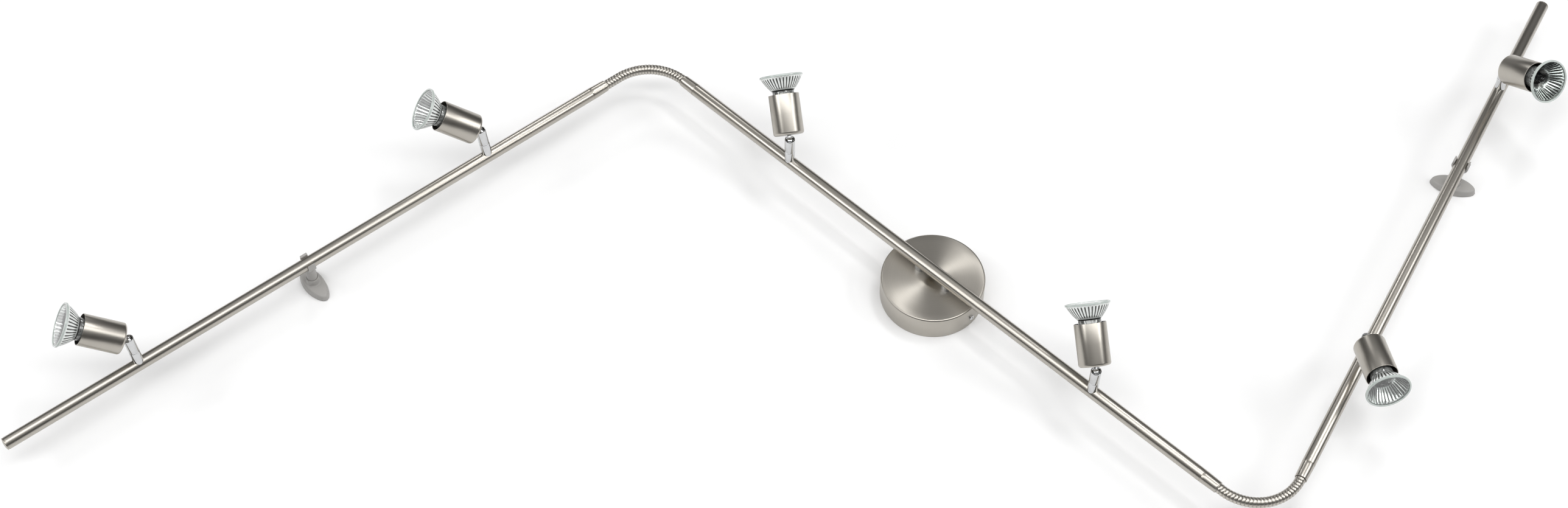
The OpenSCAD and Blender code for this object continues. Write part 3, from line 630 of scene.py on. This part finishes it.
stem_r, socket_top, cup_floor, cup_r = 6.0, 43.5, 34.0, 4.6
spigot_r, rivet_r, seam = 3.0, 4.0, 0.2


def stem_base():
    """A post whose lower edge follows the tube: its height is the root of the tube's radius squared
    less the distance across the tube squared. A turned outline goes on from there to the rivet."""
    a = 2 * np.pi * np.arange(72) / 72
    saddle = np.sqrt(tube_r**2 - (stem_r * np.sin(a)) ** 2) - 0.04
    foot = np.stack([stem_r * np.cos(a), stem_r * np.sin(a), saddle], axis=-1)
    sunk = foot * np.array([0, 0, 0.0]) + np.array([0, 0, 6.5])
    outline = (
        arc(stem_r - 0.25, base_top - 0.25, 0.25, 0, 90, 4)
        + [(spigot_r, base_top), (spigot_r, cup_floor + seam), (rivet_r, cup_floor + seam)]
        + arc(rivet_r - 0.4, cup_floor + 0.8, 0.4, 0, 90, 4) + [(0, cup_floor + 1.2)]
    )
    return np.concatenate([sunk[None], foot[None], turned(outline, 72)])


stem_tubes = {1: "left", 2: "left", 3: "centre", 4: "centre", 5: "right", 6: "right"}
for side, (body, along) in tubes.items():
    grids = [(put(stem_base(), place(feet[n], ups[n], along)), "ring")
             for n, on in stem_tubes.items() if on == side]
    bases = surface(f"{side}_saddle_bases", grids, place((0, 0, 0)), chrome)
    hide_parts(f"{side}_stem_bases")
    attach(bases, body)

# ---- Sockets and knuckles ------------------------------------------------------------
# Chromed brass. The socket is a cup with a slot down one side; a ball on a short
# hollow neck tilts in it and leaves through the slot.

slot_half, slot_floor, pivot_up, ball_r, knuckle_r = 3.0, 34.5, 40.5, 4.3, 2.6


def socket_cup():
    """Lower part: a turned sleeve with a floor. Upper part: the wall's outline carried round from
    one side of the slot to the other; each point's limit is the arcsine of half the slot over its
    radius, which makes the slot's sides flat."""
    sleeve = turned([(spigot_r + 0.05, base_top + seam)]
                    + arc(stem_r - 0.25, base_top + seam + 0.25, 0.25, -90, 0, 4)
                    + [(stem_r, slot_floor), (cup_r, slot_floor), (cup_r, cup_floor),
                       (spigot_r + 0.05, cup_floor)], 72)
    wall = np.array([(stem_r, slot_floor)] + arc(stem_r - 0.35, socket_top - 0.35, 0.35, 0, 90, 5)
                    + arc(cup_r + 0.75, socket_top - 0.1, 0.1, 90, 135, 3)
                    + [(cup_r, socket_top - 0.85), (cup_r, slot_floor)])
    limit = np.arcsin(slot_half / wall[:, 0])
    share = np.linspace(0, 1, 61)[:, None]
    turn = limit[None, :] + (2 * np.pi - 2 * limit[None, :]) * share
    rows = np.stack([wall[:, 0] * np.cos(turn), wall[:, 0] * np.sin(turn), wall[:, 1] + 0 * turn],
                    axis=-1)
    first, last = (rows[[k]].mean(axis=1, keepdims=True) + 0 * rows[[k]] for k in (0, -1))
    return [(sleeve, "torus"), (np.concatenate([first, rows, last]), "ring")]


knuckle_top = 13.0
knuckle_outline = arc(0, 0, ball_r, -90, 50, 22) + [
    (knuckle_r + 0.05, 3.6), (knuckle_r, 4.2), (knuckle_r, knuckle_top), (0, knuckle_top)]
spots = {}
for n in range(1, 7):
    tilt_joint = joints[f"head_{n}_tilt"]
    out = np.cross(np.array(tilt_joint["axis"], float), ups[n])
    tilt = math.radians(-tilt_joint["range_deg"][0])
    aim = math.cos(tilt) * ups[n] + math.sin(tilt) * out
    across = math.cos(tilt) * out - math.sin(tilt) * ups[n]
    spots[n] = place(feet[n] + pivot_up * ups[n], aim, across)
    cup = surface(f"head_{n}_slotted_cup", socket_cup(), place(feet[n], ups[n], out), chrome)
    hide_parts(f"head_{n}_socket")
    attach(cup, f"head_{n}_swivel")
    ball = surface(f"head_{n}_ball_knuckle", [(turned(knuckle_outline, 48), "ring")], spots[n], chrome)
    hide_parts(f"head_{n}_knuckle")
    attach(ball, f"head_{n}_head")

# ---- Cans --------------------------------------------------------------------------
# Deep-drawn steel cups with a round back edge. Satin nickel outside, with fine rings from polishing; the
# inside is painted near black, matt and not metallic, as shade in the gap round the lamp.

can_r, can_back, can_l, can_wall, can_edge = 18.0, 7.0, 47.5, 1.0, 3.0

can_finish = Finish("drawn_can_nickel")
can_rings = rings_of(can_finish, 1100)
can_cloud = can_finish.noise(can_finish.local((1, 1, 1)), 34)
outside = can_finish.node(
    "Math", {0: can_finish.distance_out() > (can_r - 0.6) * MM,
             1: (can_back + can_edge + 0.2) * MM - can_finish.distance_up() > 0.0},
    {"operation": "MAXIMUM"})
nickel_now = can_finish.tint(can_rings * 0.4 + can_cloud * 0.6, NICKEL_DARK, NICKEL_PALE)
# Inside the can the colour is near black: painted shade in the gap round the lamp.
can_finish.feed("Base Color", can_finish.node(
    "Mix", {0: outside, 6: (0.030, 0.026, 0.020, 1), 7: nickel_now}, {"data_type": "RGBA"}, output=2))
can_finish.feed("Metallic", outside * 1.0)
can_finish.feed("Roughness", 0.62 - outside * 0.36 + can_rings * 0.06 + can_cloud * 0.04)
can_finish.bump(can_rings, 0.14, 0.00004)

front = can_back + can_l
can_outline = (
    [(knuckle_r + 0.1, can_back + can_wall), (knuckle_r + 0.1, can_back + 0.1), (knuckle_r + 0.2, can_back),
     (can_r - can_edge, can_back)] + arc(can_r - can_edge, can_back + can_edge, can_edge, -90, 0, 12)
    + [(can_r, can_back + can_l * 0.5)] + arc(can_r - 0.3, front - 0.3, 0.3, 0, 90, 4)
    + arc(can_r - can_wall + 0.2, front - 0.2, 0.2, 90, 180, 3)
    + arc(can_r - can_edge, can_back + can_edge, can_edge - can_wall, 0, -90, 8)
)
for n in range(1, 7):
    can = surface(f"head_{n}_drawn_can", [(turned(can_outline, 96), "torus")], spots[n],
                  can_finish.material)
    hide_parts(f"head_{n}_can")
    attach(can, f"head_{n}_head")

# ---- Lamps -------------------------------------------------------------------------
# Halogen reflector lamps of pressed glass. Ribs run up the outside of the bowl
# and the silvered inside; a rim and a clear front glass close the bowl.

lamp_back, neck_back, lamp_front = 30.0, 44.0, 77.0
neck_glass_r, rim_r, rim_t, bowl_l = 12.8, 25.3, 2.5, 15.5
rib_count = 36
bowl_z = lamp_front - rim_t - bowl_l
bowl_top = bowl_z + bowl_l
glass_t, well_back, well_r, base_r = 1.5, 53.0, 6.0, 11.3


def bowl_radius(u):
    """Straight cone from neck to rim with a low bulge, a parabola, added between them."""
    return (neck_glass_r + 0.9) * (1 - u) + (rim_r - 1) * u + 0.8 * 4 * u * (1 - u)


def fluted_bowl():
    """The bowl's radius less a groove between ribs: its depth follows the fifth power of a cosine
    round the bowl, and fades out at both ends of the ribs. Under it come a ring of teeth and the
    neck."""
    steps = rib_count * 10
    a = 2 * np.pi * np.arange(steps) / steps
    u = np.linspace(0, 1, 20)
    fade = np.clip(np.minimum((u - 0.04) / 0.10, (0.95 - u) / 0.08), 0, 1)
    gap = np.abs(np.cos(a * rib_count / 2)) ** 5
    depth = (0.5 + 0.35 * u) * fade
    radius = bowl_radius(u)[:, None] - depth[:, None] * gap[None, :]
    teeth = 0.25 * (np.cos(a * rib_count * 2) > 0)
    neck = [(0, neck_back), (base_r + 0.1, neck_back), (neck_glass_r - 0.3, neck_back),
            (neck_glass_r, neck_back + 0.4), (neck_glass_r, bowl_z - 1.3),
            (neck_glass_r - 0.1, bowl_z - 1.15), (neck_glass_r - 0.55, bowl_z - 1.05)]
    toothed = [(neck_glass_r - 0.55 + teeth, bowl_z - 0.55),
               (neck_glass_r - 0.2 + teeth, bowl_z - 0.45),
               (neck_glass_r + 0.3 + teeth, bowl_z - 0.2)]
    return round_rows(neck + toothed + list(zip(radius, bowl_z + bowl_l * u)), a)


def inner_reflector():
    """The silvered inside: the same cone less the glass thickness, with shallow ribs as a sine
    round it. A narrow well for the capsule goes on behind it."""
    steps = rib_count * 8
    a = 2 * np.pi * np.arange(steps) / steps
    u = np.linspace(0.0, 1, 16)
    wave = (0.12 + 0.3 * u)[:, None] * np.abs(np.sin(a * rib_count / 2))[None, :]
    radius = (bowl_radius(u) - glass_t)[:, None] - wave
    well = [(0, well_back), (well_r, well_back), (well_r + 0.6, bowl_z - glass_t)]
    return round_rows(well + list(zip(radius, bowl_z + 0.4 + (bowl_l - 0.1) * u)), a)


bowl_finish = Finish("pressed_bowl_glass", IOR=1.5, Coat_Weight=0.8, Coat_Roughness=0.03)
groove = bowl_finish.kept("groove", 2)
ripple = bowl_finish.noise(bowl_finish.local((1, 1, 1)), 380, detail=3)
# Base colour: pale on the rib crests, and painted dark as shade in the grooves, in the ring at the bowl's
# foot and on the neck.
bowl_finish.feed("Base Color", bowl_finish.node(
    "ValToRGB", {"Fac": groove + (ripple - 0.5) * 0.25},
    {"stops": [(0.0, (0.86, 0.89, 0.87)), (0.3, (0.66, 0.69, 0.67)), (0.55, (0.09, 0.09, 0.085)),
               (1.0, (0.010, 0.009, 0.008))]}))
bowl_finish.feed("Metallic", 0.35 - groove * 0.3)
bowl_finish.feed("Roughness", 0.08 + ripple * 0.1)
bowl_finish.bump(ripple, 0.25, 0.00015)

silver = Finish("silvered_reflector", Metallic=1.0)
painted_flute_shade = silver.kept("groove", 2)
facet = silver.noise(silver.local((1, 1, 1)), 420, detail=2)
# Base colour: pale silver facets with painted dark shade lines between them, and painted shade in the
# capsule's well.
silver.feed("Base Color", silver.node(
    "ValToRGB", {"Fac": painted_flute_shade + (facet - 0.5) * 0.3},
    {"stops": [(0.0, (0.90, 0.92, 0.91)), (0.38, (0.66, 0.69, 0.68)), (0.60, (0.10, 0.10, 0.095)),
               (1.0, (0.012, 0.012, 0.011))]}))
silver.feed("Roughness", 0.08 + facet * 0.2)
silver.bump(facet, 0.3, 0.0001)

rim_glass = Finish("pale_rim_glass", IOR=1.5, Transmission_Weight=0.35, Coat_Weight=0.6, Coat_Roughness=0.03)
rim_wave = rim_glass.noise(rim_glass.local((1, 1, 1)), 160)
rim_glass.feed("Base Color", rim_glass.tint(rim_wave, (0.66, 0.74, 0.70), (0.84, 0.89, 0.86)))
rim_glass.feed("Roughness", 0.08 + rim_wave * 0.14)

front_glass = Finish("clear_front_glass", IOR=1.5, Transmission_Weight=1.0)
dust = front_glass.noise(front_glass.local((1, 1, 1)), 220, detail=5)
front_glass.feed("Base Color", front_glass.tint(dust, (0.96, 0.985, 0.97), (0.99, 1.0, 0.995)))
front_glass.feed("Roughness", dust * 0.02)

pin_steel = Finish("lamp_pin_metal", Metallic=1.0)
pin_scratch = pin_steel.noise(pin_steel.local((1, 1, 0.2)), 900)
pin_steel.feed("Base Color", pin_steel.tint(pin_scratch, (0.45, 0.44, 0.42), (0.66, 0.65, 0.62)))
pin_steel.feed("Roughness", 0.25 + pin_scratch * 0.2)

rim_outline = (
    [(rim_r - 2.2, bowl_top - 0.2), (rim_r - 0.7, bowl_top - 0.2)]
    + arc(rim_r - 0.7, bowl_top + 0.5, 0.7, -90, 0, 5)
    + arc(rim_r - 0.8, lamp_front - 0.8, 0.8, 0, 90, 6)
    + arc(rim_r - 1.7, lamp_front - 0.3, 0.3, 90, 180, 3) + [(rim_r - 2.2, lamp_front - 0.9)]
)
front_outline = [(0, lamp_front - 2.0), (rim_r - 2.0, lamp_front - 2.0), (rim_r - 2.0, lamp_front - 0.7),
                 (rim_r - 2.2, lamp_front - 0.6)] + [
    (r, lamp_front - 0.6 + 0.45 * (1 - (r / (rim_r - 2.2)) ** 2)) for r in np.linspace(rim_r - 3, 0, 8)]
capsule_outline = (
    [(0, 52.0), (2.8, 52.0), (2.8, 56.6), (3.6, 57.4), (4.3, 58.6), (4.3, 64.4)]
    + [(3.9 - 2.9 * t, 65.2 + 2.2 * math.sin(math.pi * t / 2)) for t in np.linspace(0, 0.9, 7)] + [(0, 67.9)]
)
base_outline = [(0, lamp_back), (base_r - 0.7, lamp_back), (base_r, lamp_back + 0.7),
                (base_r, neck_back), (0, neck_back)]
pin_x = 5.0
pin_outline = [(0, 23.0), (2.1, 23.0), (2.4, 23.3), (2.4, 24.8), (2.1, 25.0), (1.3, 25.2),
               (1.3, lamp_back + 1), (0, lamp_back + 1)]


def paint_groove_shade(piece, sharpness, ring_shade, neck_shade):
    """Stores how dark each point is painted, as shade: in the grooves between ribs a power of a cosine round
    the bowl, highest deep in a groove and fading at both ends of the ribs. The ring at the bowl's foot and
    the neck behind it get their own painted shade."""
    groove_shade_of = piece.data.attributes.new("groove", "FLOAT", "POINT")
    kept = np.empty(len(piece.data.vertices) * 3, np.float32)
    piece.data.attributes["local"].data.foreach_get("vector", kept)
    x, y, z = kept.reshape(-1, 3).T / MM
    share = np.clip((z - bowl_z) / bowl_l, 0, 1)
    fade = np.clip(np.minimum((share - 0.06) / 0.08, (0.93 - share) / 0.05), 0, 1)
    cut = np.abs(np.cos(np.arctan2(y, x) * rib_count / 2)) ** sharpness * fade
    ring = ring_shade * ((z > bowl_z - 1.12) & (z < bowl_z + 0.5))
    neck = neck_shade * (z < bowl_z - 1.1)
    groove_shade_of.data.foreach_set("value", np.maximum(cut, np.maximum(ring, neck)).astype(np.float32))


for n in range(1, 7):
    def lamp_piece(name, grids, finish, soft_angle=32):
        return surface(f"head_{n}_{name}", grids, spots[n], finish.material, soft_angle)

    bowl = lamp_piece("fluted_bowl", [(fluted_bowl(), "ring")], bowl_finish, 50)
    paint_groove_shade(bowl, 4, 0.92, 0.5)
    reflector = lamp_piece("silver_reflector", [(inner_reflector(), "ring")], silver, 50)
    paint_groove_shade(reflector, 3, 0.5, 0.8)
    rim = lamp_piece("glass_rim", [(turned(rim_outline, 144), "torus")], rim_glass)
    glass = lamp_piece("front_glass", [(turned(front_outline, 96), "ring")], front_glass)
    capsule = lamp_piece("capsule", [(turned(capsule_outline, 36), "ring")], front_glass)
    stub = lamp_piece("lamp_base", [(turned(base_outline, 64), "ring")], ceramic)
    prongs = [(turned(pin_outline, 24) + np.array([x, 0, 0]), "ring") for x in (-pin_x, pin_x)]
    prong = lamp_piece("lamp_pins", prongs, pin_steel)
    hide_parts(f"head_{n}_lamp")
    for piece in (bowl, reflector, rim, glass, capsule, stub, prong):
        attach(piece, f"head_{n}_head")

# ---- Floor, light and camera ---------------------------------------------------------
# The bar lies on a pale floor under large soft lights, with darker walls round
# it so that the metal has something to reflect.

floor_mesh = bpy.data.meshes.new("pale_floor")
far, floor_z = 14.0, -0.0003
corners = [(x * far, y * far, floor_z) for x, y in ((-1, -1), (1, -1), (1, 1), (-1, 1))]
floor_mesh.from_pydata(corners, [], [(0, 1, 2, 3)])
floor = bpy.data.objects.new("pale_floor", floor_mesh)
bpy.context.scene.collection.objects.link(floor)
paper = Finish("pale_paper", Roughness=0.8, Specular_IOR_Level=0.1)
fibre = paper.noise(paper.node("TexCoord", output=3), 60)
paper.feed("Base Color", paper.tint(fibre, (0.95, 0.95, 0.95), (0.97, 0.97, 0.97)))
floor_mesh.materials.append(paper.material)

world = bpy.data.worlds.new("studio")
bpy.context.scene.world = world
world.use_nodes = True
sky = world.node_tree
coords = sky.nodes.new("ShaderNodeTexCoord")
split = sky.nodes.new("ShaderNodeSeparateXYZ")
ramp = sky.nodes.new("ShaderNodeValToRGB")
sky.links.new(coords.outputs["Generated"], split.inputs[0])
sky.links.new(split.outputs[2], ramp.inputs[0])
stops = [(0.0, 0.03), (0.35, 0.06), (0.65, 0.24), (0.86, 0.50), (1.0, 0.50)]
while len(ramp.color_ramp.elements) < len(stops):
    ramp.color_ramp.elements.new(1.0)
for element, (at, level) in zip(ramp.color_ramp.elements, stops):
    element.position = at
    element.color = (level, level, level, 1)
sky.links.new(ramp.outputs[0], sky.nodes["Background"].inputs[0])
sky.nodes["Background"].inputs[1].default_value = 1.0


def softbox(name, at, target, wide, tall, watts):
    """An area light at a point, facing another."""
    light = bpy.data.lights.new(name, "AREA")
    light.shape, light.size, light.size_y, light.energy = "RECTANGLE", wide, tall, watts
    lamp = bpy.data.objects.new(name, light)
    back = np.array(at, float) - np.array(target, float)
    back = back / np.linalg.norm(back)
    yaw, pitch = math.atan2(back[0], -back[1]), math.acos(back[2])
    lamp.location, lamp.rotation_euler = at, (pitch, 0, yaw)
    bpy.context.scene.collection.objects.link(lamp)


softbox("overhead_box", (0, -0.9, 3.4), (0, 0, 0), 6.0, 1.3, 74)
softbox("left_box", (-3.2, -0.4, 2.4), (-0.3, 0, 0), 2.4, 0.9, 36)
softbox("right_box", (3.2, -0.2, 2.4), (0.3, 0, 0), 2.4, 0.9, 36)
softbox("fan_box", (0.95, 0.75, 3.2), (0.0, 0, 0), 1.1, 0.45, 15)
softbox("back_box", (-0.8, 3.0, 1.9), (0.0, 0, 0), 0.9, 0.5, 11)
bpy.context.scene.view_settings.view_transform = "Standard"

camera_data = bpy.data.cameras.new("camera")
camera_data.lens, camera_data.sensor_width, camera_data.sensor_fit = 55.90, 36.0, "HORIZONTAL"
camera_data.clip_end = 60
camera = bpy.data.objects.new("camera", camera_data)
camera.location = (-0.17040, -1.52922, 2.35815)
camera.rotation_euler = (math.radians(33.88), 0, 0)
bpy.context.scene.collection.objects.link(camera)
bpy.context.scene.camera = camera
